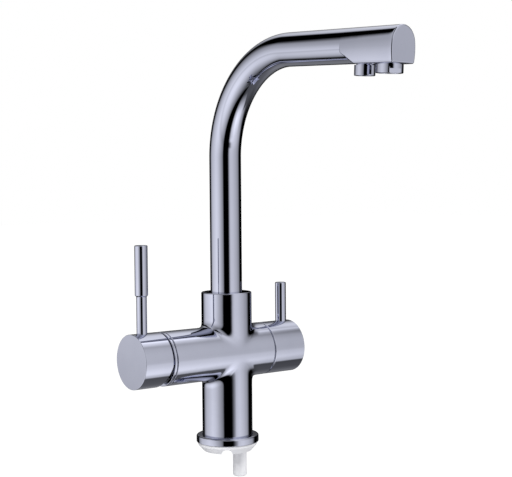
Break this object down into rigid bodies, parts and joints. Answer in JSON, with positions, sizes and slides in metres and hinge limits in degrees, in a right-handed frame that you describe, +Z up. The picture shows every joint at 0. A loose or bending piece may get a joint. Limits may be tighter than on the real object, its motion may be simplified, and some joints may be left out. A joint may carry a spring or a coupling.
{
  "type": "three way filtered water tap",
  "caption": "Chrome sink tap with a tall swivel spout, side levers for mixed and filtered water, and separate outlets under the spout's head.",
  "frame": {"origin": "on the worktop's surface, under the middle of the tap's body", "axes": "+Z up along the body and the spout's riser; -Y forward, the way the spout points at rest; +X towards the filtered-water lever, -X towards the mixer lever"},
  "size_m": [0.1709, 0.2517, 0.3849],
  "materials": {
    "chrome": "polished chrome plate",
    "brass": "machined",
    "white_plastic": "smooth white plastic",
    "grey_plastic": "moulded grey plastic",
    "rubber": "black rubber",
    "ceramic": "lapped white ceramic",
    "steel": "plain steel"
  },
  "bodies": {
    "body": {"body_casting": "chrome", "base_flange": "chrome", "base_gasket": "white_plastic", "flange_oring": "rubber", "filter_inlet_stem": "white_plastic", "stem_oring": "rubber", "filter_spigot": "brass", "spigot_oring": "rubber", "spout_retaining_screw": "steel", "cartridge_base_seal": "rubber", "cartridge_base": "grey_plastic", "cartridge_fixed_disc": "ceramic", "cartridge_housing": "grey_plastic", "cartridge_nut": "brass", "mixer_shroud": "chrome", "valve_seat_seal": "rubber", "filter_valve_body": "brass", "valve_fixed_disc": "ceramic", "valve_retaining_nut": "brass"},
    "spout": {"spout_tube": "chrome", "spout_head": "chrome", "aerator_housing": "chrome", "aerator_insert": "white_plastic", "aerator_seal": "rubber", "filtered_nozzle": "chrome", "nozzle_insert": "grey_plastic", "nozzle_seal": "rubber", "spout_ferrule": "brass", "spout_thrust_washer": "white_plastic", "spout_oring_lower": "rubber", "spout_oring_upper": "rubber", "spout_slide_ring": "white_plastic", "filtered_tube_connector": "brass", "filtered_water_tube": "white_plastic"},
    "mixer_turn": {"cartridge_rotor": "grey_plastic", "cartridge_tilt_pin": "steel"},
    "mixing_disc": {"cartridge_moving_disc": "ceramic", "cartridge_disc_carrier": "grey_plastic"},
    "mixer_lift": {"cartridge_stem": "brass", "mixer_cap": "chrome", "mixer_lever": "chrome", "mixer_grip": "chrome", "mixer_set_screw": "steel"},
    "filter_turn": {"filter_spindle": "brass", "filter_cap": "chrome", "filter_lever": "chrome", "filter_set_screw": "steel", "valve_moving_disc": "ceramic", "spindle_oring": "rubber"}
  },
  "joints": [
    {"name": "spout_swivel", "type": "hinge", "parent": "body", "child": "spout", "pos_m": [0, 0, 0.1123], "axis": [0, 0, 1], "continuous": true},
    {"name": "mixer_temperature", "type": "hinge", "parent": "body", "child": "mixer_turn", "pos_m": [-0.062, 0, 0.0876], "axis": [1, 0, 0], "range_deg": [-45, 45]},
    {"name": "mixer_flow", "type": "hinge", "parent": "mixer_turn", "child": "mixer_lift", "pos_m": [-0.062, 0, 0.0876], "axis": [0, -1, 0], "range_deg": [0, 17]},
    {"name": "mixing_disc_slide", "type": "slide", "parent": "mixer_turn", "child": "mixing_disc", "axis": [0, 0, 1], "range_m": [0, 0.003]},
    {"name": "filter_lever_turn", "type": "hinge", "parent": "body", "child": "filter_turn", "pos_m": [0.0618, 0, 0.0876], "axis": [1, 0, 0], "range_deg": [0, 90]}
  ],
  "couplings": [
    {"joint": "mixing_disc_slide", "follows": "mixer_flow", "m_per_rad": 0.01}
  ]
}
